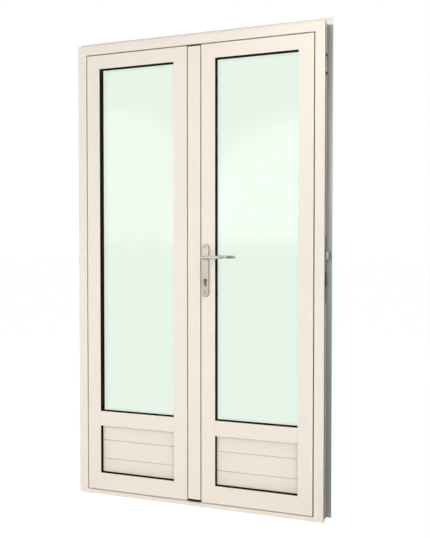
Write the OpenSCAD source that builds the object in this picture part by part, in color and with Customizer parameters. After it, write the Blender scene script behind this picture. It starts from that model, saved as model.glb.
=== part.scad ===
// Glazed aluminium double door with its frame.
// Origin: middle of the threshold's underside. +X runs to the right seen from outside,
// -Y faces outside, +Z is up. Both leaves open inwards, towards +Y.

/* [Overall] */
// Width of the frame's outside face
door_w = 1190; // [1000:10:1600]
// Height of the frame's outside face above the floor
door_h = 2150; // [1900:10:2400]
// Depth of the frame from its outside face to its inside face
frame_depth = 70; // [66:1:80]
// Depth of the outside shell of every profile
shell_depth = 22; // [20:1:24]
// Length of the insulating bars between the two shells
bar_span = 24; // [22:1:28]
// Thickness of the insulating bars
bar_t = 3; // [2:0.5:4]
// Wall thickness of the aluminium profiles
wall = 2; // [1.6:0.1:2.4]
// Chamfer on the outside edges of the profiles
edge_chamfer = 0.8; // [0.4:0.1:1.2]
// Width and height of the ridges that grip the insulating bars
bar_grip = 2; // [1:0.5:2]

/* [Frame] */
// Visible face of the jambs and the head
frame_face = 43; // [40:1:60]
// Rear wing of a jamb, beyond its outer side
jamb_wing = 22; // [10:1:40]
// Rear wing of the head, above its top
head_wing = 30; // [10:1:50]
// Thickness of the rear wings
wing_t = 2.5; // [2:0.5:4]
// Height of the threshold
threshold_h = 18; // [16:1:25]
// Chamfer on the threshold's outside nose
nose_chamfer = 4; // [2:1:8]
// How far the insulating bars lie behind the outer side
bar_recess = 3; // [3:0.5:6]
// Length of each arm of a corner cleat
cleat_arm = 70; // [50:5:100]

/* [Wall fixings] */
// Radius of the wall fixing holes
fixing_hole_r = 4.5; // [3:0.5:6]
// Distance between the two wall fixing holes
fixing_spacing = 77; // [50:1:120]
// Distance from the frame's top to the upper hole
fixing_drop = 139; // [100:1:250]
// Height of the side plate on the right jamb
side_plate_h = 285; // [200:5:320]
// Width of the side plate
side_plate_w = 20; // [14:1:20]
// Lower end of the side plate above the floor
side_plate_z = 950; // [800:5:1100]
// Height of the block on the side plate
side_block_h = 32; // [20:1:40]
// Width of the block on the side plate
side_block_w = 16; // [10:1:18]
// How far the block stands out of the jamb
side_block_out = 13; // [4:1:18]
// Height of the middle of the block above the plate's lower end
side_block_z = 202; // [180:1:230]
// Height of the slot in the side plate
side_slot_h = 64; // [40:1:80]
// Width of the slot in the side plate
side_slot_w = 10; // [6:1:12]
// Height of the middle of the slot above the plate's lower end
side_slot_z = 98; // [80:1:110]
// Radius of the hole at the top of the side plate
side_hole_r = 3; // [2:0.5:4]
// Distance of that hole from the plate's top
side_hole_drop = 8; // [6:1:15]

/* [Leaves] */
// Gap between a leaf and what it closes against, on the outside face
leaf_gap = 5; // [4:0.5:6]
// How far the gap widens behind the outside shell
chamber_step = 6; // [5.5:0.5:8]
// How far a leaf stands behind the frame's inside face
leaf_extra = 8.5; // [7:0.5:12]
// How far a leaf's inside lip covers the frame
lip_cover = 6; // [4:0.5:8]
// Thickness of the inside lip
lip_t = 2.5; // [2:0.5:3]
// Visible face of the stiles
stile_face = 66; // [62:1:90]
// Visible face of the top rail
top_rail_face = 65; // [62:1:90]
// Visible face of the mid rail
mid_rail_face = 70; // [64:1:90]
// Visible face of the bottom rail
bottom_rail_face = 81; // [64:1:140]
// Height of the panel's opening
panel_opening_h = 229; // [150:1:600]
// Visible face of the strip between the leaves
astragal_face = 60; // [56:1:80]
// Height of the black cap under the strip
astragal_foot = 9; // [5:0.5:15]
// Height of the cap on top of the strip
astragal_head = 3; // [2:0.5:6]

/* [Glazing] */
// Depth of the glass behind the outside face
glass_recess = 20; // [18:1:21]
// Thickness of each pane
pane_t = 4; // [3:0.5:4]
// Space between the panes
pane_space = 16; // [12:1:18]
// How far the glass reaches behind the edge of its opening
glass_bite = 14; // [12:1:15]
// Width of the outside lip round an opening
rim_w = 4; // [3:0.5:5]
// Thickness of the outside lip round an opening
rim_t = 2; // [1.5:0.5:3]
// Thickness of the outside gasket under the glass
gasket_t = 2; // [1:0.5:3]
// Thickness of the inside gasket
inner_gasket_t = 3; // [2:0.5:4]
// Width of the glazing beads
bead_w = 20; // [18:1:20]
// How far a glazing bead slopes back from its opening
bead_slope = 16; // [6:1:16]
// Wall of the glazing beads
bead_wall = 1.5; // [1:0.5:2]
// Width of the spacer between the panes
spacer_w = 9; // [6:0.5:10]
// Length of a setting block
block_len = 100; // [60:5:140]
// Distance of the setting blocks from the corners of an opening
block_inset = 40; // [20:5:80]
// Distance from the panel's top to its first groove
groove_first = 73; // [40:1:90]
// Distance from the panel's top to its second groove
groove_second = 162; // [120:1:180]
// Width of a groove
groove_w = 2.5; // [1.5:0.5:5]
// Depth of a groove
groove_depth = 5; // [2:0.5:8]

/* [Hinges] */
// Height of a hinge
hinge_h = 105; // [80:1:140]
// Outside radius of a hinge barrel
barrel_r = 8; // [7:0.5:10]
// Radius of a hinge pin
pin_r = 4; // [3:0.5:5]
// Thickness of a hinge plate
hinge_plate_t = 3; // [2:0.5:4]
// Width of a hinge plate on the leaf
hinge_plate_w = 34; // [26:1:40]
// Distance of the end hinges from the leaf's top and bottom
hinge_inset = 200; // [120:5:300]

/* [Lock] */
// Height of the lever's axis above the floor
lever_z = 1144; // [950:1:1200]
// Distance of the lever's axis from the leaf's edge
backset = 22.5; // [22:0.5:23]
// Distance from the lever's axis down to the cylinder
lock_centres = 105; // [92:1:110]
// Width of a handle plate
plate_w = 33; // [30:1:40]
// Thickness of a handle plate
plate_t = 10; // [6:0.5:12]
// Radius of a handle plate's outer edge
plate_edge = 3; // [1:0.5:4]
// How far a handle plate falls below the cylinder's middle
plate_drop = 74; // [60:1:100]
// How far a handle plate rises above the lever's axis
plate_rise = 60; // [50:1:66]
// Radius of the lever's neck
neck_r = 9; // [8:0.5:10]
// Distance from the plate to the middle of the lever's grip
lever_stand = 42; // [35:1:55]
// Radius of the lever's grip at its bend
grip_r = 7; // [5:0.5:8]
// Length of the grip from the lever's axis to the bend
grip_len = 78; // [60:1:110]
// Radius of the bend at the end of the grip
grip_bend = 20; // [12:1:24]
// Length of the straight end after the bend
grip_end = 5; // [2:1:10]
// Thickness of the lock case
case_t = 16; // [14:1:18]
// How far the lock case rises above the lever's axis
case_rise = 65; // [60:1:80]
// How far the lock case falls below the cylinder's middle
case_drop = 40; // [34:1:60]
// Sheet thickness of the lock case
case_wall = 1.5; // [1:0.5:2]
// Thickness of the lock's face plate
face_plate_t = 3; // [2:0.5:3]
// Height of the lock's face plate
face_plate_h = 285; // [260:5:320]
// Thickness of the bolts that slide in the case
bolt_t = 10; // [6:0.5:10]
// Distance from the lever's axis down to the middle of the deadbolt
deadbolt_drop = 46; // [42:1:50]
// Height of the deadbolt
deadbolt_h = 32; // [24:1:34]
// Distance from the lever's axis up to the middle of the latch
latch_rise = 34; // [30:1:36]
// Height of the latch
latch_h = 24; // [18:1:26]
// Radius of the shoot bolts and the flush bolts
rod_r = 5; // [4:0.5:5.5]
// Distance of the shoot bolts from the leaf's edge
rod_inset = 14.5; // [14:0.5:16]
// How far the upper shoot bolt starts above the lever's axis
rod_rise = 50; // [48:1:55]
// How far the lower shoot bolt ends below the cylinder's middle
rod_drop = 27; // [26:1:33]
// Throw of the upper shoot bolt and flush bolt
upper_throw = 25; // [22:0.5:26]
// Throw of the lower shoot bolt and flush bolt
lower_throw = 15; // [12:0.5:17]
// Length of a flush bolt
flush_len = 260; // [160:10:400]
// Distance of the thumb piece from a flush bolt's inner end
thumb_inset = 20; // [12:1:40]
// Radius of the cylinder's round head
cylinder_r = 8.5; // [8:0.1:9]
// Width of the cylinder's narrow foot
cylinder_foot_w = 10; // [9:0.5:11]
// Distance from the cylinder's middle down to the end of its foot
cylinder_foot = 24.5; // [20:0.5:26]
// Radius of the cylinder's plug
plug_r = 6.5; // [6:0.1:6.8]
// Radius of the handle screws
screw_r = 2.4; // [2:0.1:3]
// Distance of the upper handle screws from a plate's top
screw_inset = 12; // [10:1:20]
// Distance of the lower handle screws from a plate's foot
screw_lift = 20; // [10:1:25]

/* [Fits] */
// Running clearance of pins and turning parts
run_fit = 0.05; // [0.02:0.01:0.1]
// Clearance round sliding bolts and rods
slide_fit = 0.4; // [0.3:0.1:0.6]
// Clearance of a seal from the part that it meets
seal_gap = 0.4; // [0.3:0.1:0.8]
// Clearance of the spindle in the levers
spindle_fit = 0.1; // [0.05:0.05:0.2]
// Slip clearance of the corner cleats
cleat_fit = 0.2; // [0.1:0.1:0.4]

/* [Hidden] */
$fn = 48;
far = 3000;
eps = 0.5;

front = -frame_depth / 2;
back = frame_depth / 2;
bar_front = front + shell_depth;
bar_back = bar_front + bar_span;
bar_mid = (bar_front + bar_back) / 2;
leaf_back = back + leaf_extra;

frame_inner = frame_face - chamber_step;
frame_left = -door_w / 2;
leaf_w = (door_w - 2 * frame_face - astragal_face - 4 * leaf_gap) / 2;
leaf_hinge_x = frame_left + frame_face + leaf_gap;
leaf_meet_x = leaf_hinge_x + leaf_w;
leaf_bottom = threshold_h + leaf_gap;
leaf_top = door_h - frame_face - leaf_gap;
lip_reach = leaf_gap + chamber_step + lip_cover;

panel_z0 = leaf_bottom + bottom_rail_face;
panel_z1 = panel_z0 + panel_opening_h;
glass_z0 = panel_z1 + mid_rail_face;
glass_z1 = leaf_top - top_rail_face;
open_x0 = leaf_hinge_x + stile_face;
open_x1 = leaf_meet_x - stile_face;
pane_x0 = open_x0 - glass_bite;
pane_x1 = open_x1 + glass_bite;
openings = [[glass_z0, glass_z1], [panel_z0, panel_z1]];

glass_y = front + glass_recess;
gasket_y = glass_y - gasket_t;
spacer_y = glass_y + pane_t;
pane2_y = spacer_y + pane_space;
glass_back = pane2_y + pane_t;
bead_y = glass_back + inner_gasket_t;
bead_back = leaf_back - 1.5;
rebate_w = glass_bite + rim_w;
strip_in = 2;
bead_seat = bead_w + strip_in;
inner_bar_in = bead_seat + 3;
inner_gasket_reach = glass_bite - 4;

astragal_step = astragal_face / 2 - chamber_step;
astragal_root = leaf_meet_x - chamber_step;
astragal_z0 = leaf_bottom + astragal_foot;
astragal_z1 = leaf_top - astragal_head - 1;

hinge_x = frame_left + frame_inner - lip_cover - 1;
hinge_y = leaf_back + barrel_r + 1.5;
hinge_gap = (leaf_top - leaf_bottom - 2 * hinge_inset - hinge_h) / 2;
hinge_rows = [for (i = [0:2]) leaf_bottom + hinge_inset + i * hinge_gap];
knuckle_h = hinge_h / 3;

lock_x = -leaf_meet_x + backset;
cylinder_z = lever_z - lock_centres;
case_x0 = -leaf_meet_x + chamber_step;
case_x1 = -leaf_meet_x + stile_face - inner_bar_in - bar_t - 0.5;
case_y0 = bar_mid - case_t / 2;
case_z0 = cylinder_z - case_drop;
case_z1 = lever_z + case_rise;
face_plate_x = case_x0 - face_plate_t;
plate_z0 = cylinder_z - plate_drop;
plate_h = plate_drop + lock_centres + plate_rise;
rod_x = -leaf_meet_x + rod_inset;
flush_x = -6;
deadbolt_z = lever_z - deadbolt_drop;
latch_z = lever_z + latch_rise;
rod_rest_top = leaf_top - 2;
rod_rest_bottom = leaf_bottom + 2;
keep_t = 2;
keep_w = 13;
keep_len = 28;
seal_inset = 1;
seal_t = 3;
head_bar_z = door_h - frame_inner + bar_recess;

cream = [0.93, 0.89, 0.84];
mill = [0.62, 0.63, 0.61];
black = [0.13, 0.13, 0.12];
grey = [0.45, 0.45, 0.44];
steel = [0.78, 0.77, 0.74];
clear_green = [0.80, 0.93, 0.85, 0.45];

// Helpers

// Extrudes a section, drawn as (distance from the outer edge, depth), upwards from z0 to z1
module upright(x, z0, z1)
    translate([x, 0, z0])
        linear_extrude(z1 - z0)
            children();

// Extrudes such a section to the right, its outer edge at the top
module along_top(z, x0, x1)
    translate([x0, 0, z])
        rotate([0, 90, 0])
            linear_extrude(x1 - x0)
                children();

// The same with its outer edge at the bottom
module along_bottom(z, x0, x1)
    translate([x0, 0, z])
        mirror([0, 0, 1])
            rotate([0, 90, 0])
                linear_extrude(x1 - x0)
                    children();

// A prism through the whole depth over an outline in X and Z
module through(outline, y0 = -far, y1 = far)
    translate([0, y1, 0])
        rotate([90, 0, 0])
            linear_extrude(y1 - y0)
                polygon(outline);

module cut_to(outline)
    intersection() {
        children();
        through(outline);
    }

module box(x0, x1, y0, y1, z0, z1)
    translate([x0, y0, z0])
        cube([x1 - x0, y1 - y0, z1 - z0]);

module rect(x0, x1, y0, y1)
    translate([x0, y0])
        square([x1 - x0, y1 - y0]);

module right_hand()
    mirror([1, 0, 0])
        children();

module both_hands() {
    children();
    right_hand()
        children();
}

// Bore along Y, X or Z through a point
module bore_y(x, z, r)
    translate([x, 0, z])
        rotate([90, 0, 0])
            cylinder(r = r, h = 2 * far, center = true);

module bore_x(y, z, r, x0, x1)
    translate([x0, y, z])
        rotate([0, 90, 0])
            cylinder(r = r, h = x1 - x0);

module bore_z(x, y, r, z0, z1)
    translate([x, y, z0])
        cylinder(r = r, h = z1 - z0);

// Frame sections

module tube_section(x0, x1, y0, y1, t)
    difference() {
        rect(x0, x1, y0, y1);
        rect(x0 + t, x1 - t, y0 + t, y1 - t);
    }

// The same with its outside corners chamfered
module face_section(x0, x1)
    difference() {
        polygon([
            [x0, front + edge_chamfer],
            [x0 + edge_chamfer, front],
            [x1 - edge_chamfer, front],
            [x1, front + edge_chamfer],
            [x1, bar_front],
            [x0, bar_front]
        ]);
        rect(x0 + wall, x1 - wall, front + wall, bar_front - wall);
    }

// Ridges on the outside and the inside shell, beside an insulating bar
module outside_grip(x)
    rect(x, x + bar_grip, bar_front, bar_front + bar_grip);

module inside_grip(x)
    rect(x, x + bar_grip, bar_back - bar_grip, bar_back);

module frame_section(wing) {
    face_section(0, frame_face);
    tube_section(0, frame_inner, bar_back, back, wall);
    rect(-wing, 0, back - wing_t, back);
    for (x = [bar_recess + bar_t, frame_inner - bar_recess - bar_t - bar_grip]) {
        outside_grip(x);
        inside_grip(x);
    }
}

module frame_bar_section() {
    rect(bar_recess, bar_recess + bar_t, bar_front, bar_back);
    rect(frame_inner - bar_recess - bar_t, frame_inner - bar_recess, bar_front, bar_back);
}

function jamb_outline() = [
    [frame_left - 2 * jamb_wing, 0],
    [frame_left + frame_face, 0],
    [frame_left + frame_face, door_h - frame_face],
    [frame_left, door_h],
    [frame_left - 2 * jamb_wing, door_h]
];

function head_outline() = [
    [frame_left - jamb_wing, door_h + 2 * head_wing],
    [frame_left - jamb_wing, door_h],
    [frame_left, door_h],
    [frame_left + frame_face, door_h - frame_face],
    [-frame_left - frame_face, door_h - frame_face],
    [-frame_left, door_h],
    [-frame_left + jamb_wing, door_h],
    [-frame_left + jamb_wing, door_h + 2 * head_wing]
];

module jamb()
    cut_to(jamb_outline())
        upright(frame_left, 0, door_h)
            frame_section(jamb_wing);

module fixing_holes(x0, x1)
    for (i = [0, 1])
        bore_x(bar_mid, door_h - fixing_drop - i * fixing_spacing, fixing_hole_r, x0, x1);

// Places of the vertical rods: shoot bolts in the right leaf, flush bolts in the strip
rod_places = [rod_x, flush_x];

module rod_holes(z0, z1, r)
    for (x = rod_places)
        bore_z(x, bar_mid, r, z0, z1);

module frame_head()
    color(cream)
        cut_to(head_outline())
            along_top(door_h, frame_left - jamb_wing, -frame_left + jamb_wing)
                frame_section(head_wing);

module frame_jamb_left()
    color(cream)
        jamb();

module frame_jamb_right()
    color(cream)
        right_hand()
            jamb();

threshold_bars = [0, threshold_h - 2 * bar_t];

module threshold_nose_section()
    difference() {
        polygon([
            [0, front],
            [threshold_h - nose_chamfer, front],
            [threshold_h, front + nose_chamfer],
            [threshold_h, bar_front],
            [0, bar_front]
        ]);
        rect(wall, threshold_h - wall, front + nose_chamfer, bar_front - wall);
    }

module threshold()
    color(cream) {
        along_bottom(0, frame_left + frame_face, -frame_left - frame_face) {
            threshold_nose_section();
            outside_grip(threshold_bars[0] + bar_t);
            outside_grip(threshold_bars[1] - bar_grip);
        }
        along_bottom(0, frame_left + frame_inner, -frame_left - frame_inner) {
            tube_section(0, threshold_h, bar_back, back, wall);
            inside_grip(threshold_bars[0] + bar_t);
            inside_grip(threshold_bars[1] - bar_grip);
        }
    }

module frame_thermal_bars()
    color(grey)
        difference() {
            union() {
                both_hands()
                    cut_to(jamb_outline())
                        upright(frame_left, 0, door_h)
                            frame_bar_section();
                cut_to(head_outline())
                    along_top(door_h, frame_left, -frame_left)
                        frame_bar_section();
                along_bottom(0, frame_left + frame_inner, -frame_left - frame_inner)
                    for (z = threshold_bars)
                        rect(z, z + bar_t, bar_front, bar_back);
            }
            both_hands()
                fixing_holes(frame_left - eps, frame_left + frame_face);
            rod_holes(head_bar_z - eps, door_h - bar_recess - bar_t - eps, rod_r + slide_fit);
            rod_holes(bar_t + eps, threshold_h + eps, rod_r + slide_fit);
        }

// An L of solid metal in the hollow of two members that meet at a mitre
module cleat(size, depth, arm)
    difference() {
        cube([arm, depth, arm]);
        translate([size, -eps, size])
            cube([arm, depth + 2 * eps, arm]);
    }

module corner_cleats_at(x, z, t, face, inner, y_front, y_back)
    translate([x + t + cleat_fit, 0, z - t - cleat_fit])
        mirror([0, 0, 1]) {
            translate([0, y_front + t + cleat_fit, 0])
                cleat(face - 2 * t - 2 * cleat_fit, shell_depth - 2 * t - 2 * cleat_fit, cleat_arm);
            translate([0, bar_back + t + cleat_fit, 0])
                cleat(inner - 2 * t - 2 * cleat_fit, y_back - bar_back - 2 * t - 2 * cleat_fit, cleat_arm);
        }

module frame_corner_cleats()
    color(mill)
        both_hands()
            corner_cleats_at(frame_left, door_h, wall, frame_face, frame_inner, front, back);

// A soft fin on the inner bars, reaching towards the leaves
module centre_seal_section()
    rect(frame_inner - bar_recess, frame_face + leaf_gap - seal_gap,
        bar_front + seal_inset, bar_front + seal_inset + seal_t);

module frame_centre_seal()
    color(black) {
        both_hands()
            upright(frame_left, threshold_h, door_h - frame_face - leaf_gap)
                centre_seal_section();
        along_top(door_h, leaf_hinge_x, -leaf_hinge_x)
            centre_seal_section();
    }

module side_plate_at(x)
    translate([x, bar_mid, side_plate_z])
        children();

module jamb_side_plate()
    color(steel)
        side_plate_at(-frame_left - bar_recess)
            difference() {
                translate([0, -side_plate_w / 2, 0])
                    cube([bar_recess, side_plate_w, side_plate_h]);
                translate([-eps, -side_slot_w / 2, side_slot_z - side_slot_h / 2])
                    cube([bar_recess + 2 * eps, side_slot_w, side_slot_h]);
                translate([-eps, 0, side_plate_h - side_hole_drop])
                    rotate([0, 90, 0])
                        cylinder(r = side_hole_r, h = bar_recess + 2 * eps);
            }

module jamb_side_block()
    color(steel)
        side_plate_at(-frame_left)
            translate([0, -side_block_w / 2, side_block_z - side_block_h / 2])
                cube([side_block_out, side_block_w, side_block_h]);

// Steel plates that guide the vertical rods where they enter the head and the threshold
module bolt_keeps()
    color(steel)
        for (x = rod_places)
            difference() {
                union() {
                    box(x - keep_len / 2, x + keep_len / 2, bar_mid - keep_w / 2, bar_mid + keep_w / 2,
                        head_bar_z - keep_t, head_bar_z);
                    box(x - keep_len / 2, x + keep_len / 2, bar_mid - keep_w / 2, bar_mid + keep_w / 2,
                        threshold_h - bar_t, threshold_h - bar_t + keep_t);
                }
                bore_z(x, bar_mid, rod_r + slide_fit, 0, door_h);
            }

// Hinges

module barrel(z0, z1)
    translate([hinge_x, hinge_y, z0])
        cylinder(r = barrel_r, h = z1 - z0);

module pin_bores(z)
    translate([hinge_x, hinge_y, z - eps])
        cylinder(r = pin_r + run_fit, h = hinge_h + 2 * eps);

module frame_hinge_at(z)
    difference() {
        union() {
            for (k = [0, 2]) {
                barrel(z + k * knuckle_h + (k == 2 ? slide_fit : 0),
                    z + (k + 1) * knuckle_h - (k == 0 ? slide_fit : 0));
                box(hinge_x - barrel_r, hinge_x - pin_r - 1, back, hinge_y,
                    z + k * knuckle_h + (k == 2 ? slide_fit : 0),
                    z + (k + 1) * knuckle_h - (k == 0 ? slide_fit : 0));
            }
            box(frame_left + 1, hinge_x - pin_r - 1, back, back + hinge_plate_t, z, z + hinge_h);
        }
        pin_bores(z);
    }

module leaf_hinge_at(z)
    difference() {
        union() {
            barrel(z + knuckle_h, z + 2 * knuckle_h);
            box(hinge_x + pin_r + 1, hinge_x + barrel_r + 3, leaf_back, hinge_y,
                z + knuckle_h, z + 2 * knuckle_h);
            box(hinge_x + barrel_r + 2, hinge_x + barrel_r + 2 + hinge_plate_w,
                leaf_back, leaf_back + hinge_plate_t, z, z + hinge_h);
        }
        pin_bores(z);
    }

module frame_hinge_leaves()
    color(cream)
        both_hands()
            for (z = hinge_rows)
                frame_hinge_at(z);

module hinge_pins()
    color(steel)
        both_hands()
            for (z = hinge_rows)
                translate([hinge_x, hinge_y, z]) {
                    cylinder(r = pin_r, h = hinge_h);
                    for (end = [-2, hinge_h])
                        translate([0, 0, end])
                            cylinder(r = barrel_r - 1, h = 2);
                }

// Leaf sections, drawn from the leaf's edge towards its opening

function leaf_grips(face) = [chamber_step + bar_t, face - inner_bar_in - bar_t - bar_grip];

module leaf_outer_section(face) {
    difference() {
        polygon([
            [0, front + edge_chamfer],
            [edge_chamfer, front],
            [face - edge_chamfer, front],
            [face, front + edge_chamfer],
            [face, front + rim_t],
            [face - rim_w, front + rim_t],
            [face - rim_w, gasket_y],
            [face - rebate_w, gasket_y],
            [face - rebate_w, bar_front],
            [0, bar_front]
        ]);
        rect(wall, face - rebate_w - wall, front + wall, bar_front - wall);
        rect(face - rebate_w, face - rim_w - wall, front + wall, gasket_y - wall);
    }
    for (x = leaf_grips(face))
        outside_grip(x);
}

module leaf_inner_section(face, edge) {
    tube_section(edge, face - bead_seat, bar_back, leaf_back, wall);
    for (x = leaf_grips(face))
        inside_grip(x);
}

module lip_section()
    rect(-lip_reach, 0, leaf_back - lip_t, leaf_back);

module leaf_bar_section(face) {
    rect(chamber_step, chamber_step + bar_t, bar_front, bar_back);
    rect(face - inner_bar_in - bar_t, face - inner_bar_in, bar_front, bar_back);
}

// Sections round an opening, drawn from its edge outwards
module outside_gasket_section()
    polygon([
        [-rim_w, front + rim_t],
        [0, front + rim_t],
        [0, glass_y],
        [-glass_bite, glass_y],
        [-glass_bite, gasket_y],
        [-rim_w, gasket_y]
    ]);

module inside_gasket_section()
    rect(-inner_gasket_reach, -strip_in, glass_back, bead_y);

module bead_outline(t)
    polygon([
        [-bead_seat + t, bead_y + t],
        [-strip_in - 2 * t, bead_y + t],
        [-strip_in - bead_slope - t, bead_back - t],
        [-bead_seat + t, bead_back - t]
    ]);

module bead_section()
    difference() {
        bead_outline(0);
        bead_outline(bead_wall);
    }

// Outlines of the four mitred members of a leaf; edge is the step at the meeting side
function stile_outline(side_lip) = [
    [leaf_hinge_x - side_lip, leaf_bottom],
    [leaf_hinge_x, leaf_bottom],
    [open_x0, panel_z0],
    [open_x0, glass_z1],
    [leaf_hinge_x, leaf_top],
    [leaf_hinge_x - side_lip, leaf_top + side_lip]
];

function meeting_outline(edge) = [
    [leaf_meet_x - edge, leaf_bottom + edge * bottom_rail_face / stile_face],
    [open_x1, panel_z0],
    [open_x1, glass_z1],
    [leaf_meet_x - edge, leaf_top - edge * top_rail_face / stile_face]
];

function top_outline(lip, edge) = [
    [leaf_hinge_x - lip, leaf_top + lip],
    [leaf_hinge_x, leaf_top],
    [open_x0, glass_z1],
    [open_x1, glass_z1],
    [leaf_meet_x - edge, leaf_top - edge * top_rail_face / stile_face],
    [leaf_meet_x - edge, leaf_top + lip]
];

function bottom_outline(edge) = [
    [leaf_hinge_x, leaf_bottom],
    [open_x0, panel_z0],
    [open_x1, panel_z0],
    [leaf_meet_x - edge, leaf_bottom + edge * bottom_rail_face / stile_face],
    [leaf_meet_x - edge, leaf_bottom]
];

module on_meeting_edge()
    translate([leaf_meet_x, 0, 0])
        mirror([1, 0, 0])
            children();

module hinge_stile() {
    cut_to(stile_outline(lip_reach))
        upright(leaf_hinge_x, leaf_bottom, leaf_top + lip_reach) {
            leaf_outer_section(stile_face);
            leaf_inner_section(stile_face, 0);
            lip_section();
        }
}

module meeting_stile() {
    cut_to(meeting_outline(0))
        on_meeting_edge()
            upright(0, leaf_bottom, leaf_top)
                leaf_outer_section(stile_face);
    cut_to(meeting_outline(chamber_step))
        on_meeting_edge()
            upright(0, leaf_bottom, leaf_top)
                leaf_inner_section(stile_face, chamber_step);
}

module top_rail() {
    cut_to(top_outline(lip_reach, 0))
        along_top(leaf_top, leaf_hinge_x, leaf_meet_x)
            leaf_outer_section(top_rail_face);
    cut_to(top_outline(lip_reach, chamber_step))
        along_top(leaf_top, leaf_hinge_x - lip_reach, leaf_meet_x) {
            leaf_inner_section(top_rail_face, 0);
            lip_section();
        }
}

module bottom_rail() {
    cut_to(bottom_outline(0))
        along_bottom(leaf_bottom, leaf_hinge_x, leaf_meet_x)
            leaf_outer_section(bottom_rail_face);
    cut_to(bottom_outline(chamber_step))
        along_bottom(leaf_bottom, leaf_hinge_x, leaf_meet_x)
            leaf_inner_section(bottom_rail_face, 0);
}

module mid_rail() {
    mid_grips = [inner_bar_in + bar_t, mid_rail_face - inner_bar_in - bar_t - bar_grip];
    along_top(glass_z0, open_x0, open_x1) {
        difference() {
            polygon([
                [0, front + edge_chamfer],
                [edge_chamfer, front],
                [mid_rail_face - edge_chamfer, front],
                [mid_rail_face, front + edge_chamfer],
                [mid_rail_face, front + rim_t],
                [mid_rail_face - rim_w, front + rim_t],
                [mid_rail_face - rim_w, gasket_y],
                [mid_rail_face - rebate_w, gasket_y],
                [mid_rail_face - rebate_w, bar_front],
                [rebate_w, bar_front],
                [rebate_w, gasket_y],
                [rim_w, gasket_y],
                [rim_w, front + rim_t],
                [0, front + rim_t]
            ]);
            rect(rebate_w + wall, mid_rail_face - rebate_w - wall, front + wall, bar_front - wall);
        }
        for (x = mid_grips)
            outside_grip(x);
    }
    along_bottom(panel_z1, open_x0 - bead_seat, open_x1 + bead_seat) {
        tube_section(bead_seat, mid_rail_face - bead_seat, bar_back, leaf_back, wall);
        for (x = mid_grips)
            inside_grip(x);
    }
}

module leaf_bars() {
    cut_to(stile_outline(0))
        upright(leaf_hinge_x, leaf_bottom, leaf_top)
            leaf_bar_section(stile_face);
    cut_to(meeting_outline(chamber_step))
        on_meeting_edge()
            upright(0, leaf_bottom, leaf_top)
                leaf_bar_section(stile_face);
    cut_to(top_outline(0, chamber_step))
        along_top(leaf_top, leaf_hinge_x, leaf_meet_x)
            leaf_bar_section(top_rail_face);
    cut_to(bottom_outline(chamber_step))
        along_bottom(leaf_bottom, leaf_hinge_x, leaf_meet_x)
            leaf_bar_section(bottom_rail_face);
    along_bottom(panel_z1, open_x0 - inner_bar_in, open_x1 + inner_bar_in)
        for (w = [inner_bar_in, mid_rail_face - inner_bar_in - bar_t])
            rect(w, w + bar_t, bar_front, bar_back);
}

// Mitred strips along the four sides of each opening, out to a given width
module round_openings(out)
    for (range = openings) {
        low = range[0];
        high = range[1];
        lower_left = [open_x0 - out, low - out];
        upper_left = [open_x0 - out, high + out];
        lower_right = [open_x1 + out, low - out];
        upper_right = [open_x1 + out, high + out];
        cut_to([lower_left, [open_x0, low], [open_x0, high], upper_left])
            upright(open_x0, low - out, high + out)
                children();
        cut_to([lower_right, [open_x1, low], [open_x1, high], upper_right])
            translate([open_x1, 0, 0])
                right_hand()
                    upright(0, low - out, high + out)
                        children();
        cut_to([upper_left, [open_x0, high], [open_x1, high], upper_right])
            along_top(high, open_x0 - out, open_x1 + out)
                children();
        cut_to([lower_left, [open_x0, low], [open_x1, low], lower_right])
            along_bottom(low, open_x0 - out, open_x1 + out)
                children();
    }

module outside_gasket()
    round_openings(glass_bite)
        outside_gasket_section();

module inside_gasket()
    round_openings(inner_gasket_reach)
        inside_gasket_section();

module glazing_beads()
    round_openings(bead_seat)
        bead_section();

module both_panes()
    for (y = [glass_y, pane2_y])
        box(pane_x0, pane_x1, y, y + pane_t, glass_z0 - glass_bite, glass_z1 + glass_bite);

module glass_spacer()
    difference() {
        box(pane_x0 + 1, pane_x1 - 1, spacer_y, pane2_y,
            glass_z0 - glass_bite + 1, glass_z1 + glass_bite - 1);
        box(pane_x0 + 1 + spacer_w, pane_x1 - 1 - spacer_w, spacer_y - eps, pane2_y + eps,
            glass_z0 - glass_bite + 1 + spacer_w, glass_z1 + glass_bite - 1 - spacer_w);
    }

module groove(z, y)
    box(pane_x0 - eps, pane_x1 + eps, y - groove_depth, y + groove_depth,
        z - groove_w / 2, z + groove_w / 2);

module grooved_panel()
    difference() {
        box(pane_x0, pane_x1, glass_y, glass_back, panel_z0 - glass_bite, panel_z1 + glass_bite);
        for (drop = [groove_first, groove_second]) {
            groove(panel_z1 - drop, glass_y);
            groove(panel_z1 - drop, glass_back);
        }
    }

module setting_blocks()
    for (z = [glass_z0, panel_z0])
        for (x = [open_x0 + block_inset, open_x1 - block_inset - block_len])
            box(x, x + block_len, bar_front + 1, glass_back - 1, z - inner_bar_in, z - glass_bite);

// Soft strips: under the inside lip on three sides, and under the bottom rail
module leaf_seals() {
    lip_in = lip_reach - 5;
    lip_out = lip_reach - 1;
    upright(leaf_hinge_x, leaf_bottom, leaf_top + lip_in)
        rect(-lip_out, -lip_in, back + seal_gap, leaf_back - lip_t);
    along_top(leaf_top, leaf_hinge_x - lip_out, leaf_meet_x - chamber_step)
        rect(-lip_out, -lip_in, back + seal_gap, leaf_back - lip_t);
    box(leaf_hinge_x, leaf_meet_x - stile_face, bar_front - 9, bar_front - 3,
        threshold_h + seal_gap, leaf_bottom);
}

module leaf_hinges()
    for (z = hinge_rows)
        leaf_hinge_at(z);

// Left leaf, with the strip between the leaves

module left_hinge_stile()
    color(cream)
        hinge_stile();

module left_meeting_stile()
    color(cream)
        meeting_stile();

module left_top_rail()
    color(cream)
        top_rail();

module left_mid_rail()
    color(cream)
        mid_rail();

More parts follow.
